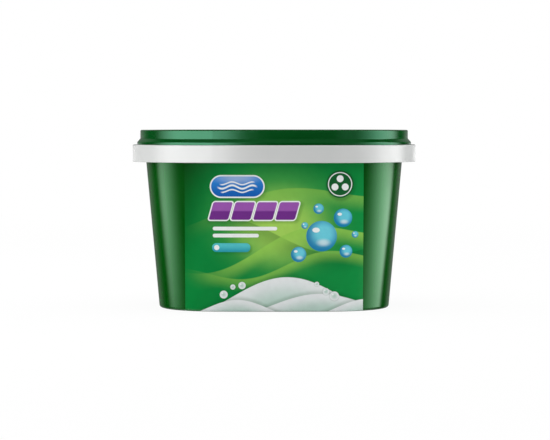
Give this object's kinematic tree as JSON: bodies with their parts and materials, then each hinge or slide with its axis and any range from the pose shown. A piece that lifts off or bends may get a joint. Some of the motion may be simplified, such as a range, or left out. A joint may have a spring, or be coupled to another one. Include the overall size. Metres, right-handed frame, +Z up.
{
  "type": "dishwasher tablet tub",
  "caption": "Oblong tapered tub with a push-fit collar, a hinged lid, two printed labels and a heap of three-chamber dishwasher tablets.",
  "frame": {"origin": "centre of the tub's underside, on the surface it stands on", "axes": "+X along the long side, to the right for someone who reads the front label; +Y to the back, where the hinge is; +Z up"},
  "size_m": [0.19, 0.127, 0.1191],
  "materials": {
    "tub_plastic": "satin",
    "collar_plastic": "satin",
    "lid_plastic": "satin",
    "label_film": "gloss",
    "tablet_film": "gloss"
  },
  "bodies": {
    "tub": {"tub": "tub_plastic", "collar": "collar_plastic", "front_label": "label_film", "back_label": "label_film", "tablet_01": "tablet_film", "tablet_02": "tablet_film", "tablet_03": "tablet_film", "tablet_04": "tablet_film", "tablet_05": "tablet_film", "tablet_06": "tablet_film", "tablet_07": "tablet_film", "tablet_08": "tablet_film", "tablet_09": "tablet_film", "tablet_10": "tablet_film", "tablet_11": "tablet_film", "tablet_12": "tablet_film", "tablet_13": "tablet_film", "tablet_14": "tablet_film", "tablet_15": "tablet_film", "tablet_16": "tablet_film", "tablet_17": "tablet_film", "tablet_18": "tablet_film", "tablet_19": "tablet_film", "tablet_20": "tablet_film", "tablet_21": "tablet_film", "tablet_22": "tablet_film", "tablet_23": "tablet_film", "tablet_24": "tablet_film", "tablet_25": "tablet_film", "tablet_26": "tablet_film", "tablet_27": "tablet_film", "tablet_28": "tablet_film", "tablet_29": "tablet_film", "tablet_30": "tablet_film", "tablet_31": "tablet_film", "tablet_32": "tablet_film", "tablet_33": "tablet_film", "tablet_34": "tablet_film", "tablet_35": "tablet_film", "tablet_36": "tablet_film", "tablet_37": "tablet_film", "tablet_38": "tablet_film", "tablet_39": "tablet_film", "tablet_40": "tablet_film", "tablet_41": "tablet_film", "tablet_42": "tablet_film", "tablet_43": "tablet_film", "tablet_44": "tablet_film", "tablet_45": "tablet_film", "tablet_46": "tablet_film", "tablet_47": "tablet_film", "tablet_48": "tablet_film"},
    "lid": {"lid": "lid_plastic"}
  },
  "joints": [
    {"name": "lid_hinge", "type": "hinge", "parent": "tub", "child": "lid", "pos_m": [0, 0.06032, 0.1115], "axis": [-1, 0, 0], "range_deg": [0, 111]}
  ]
}
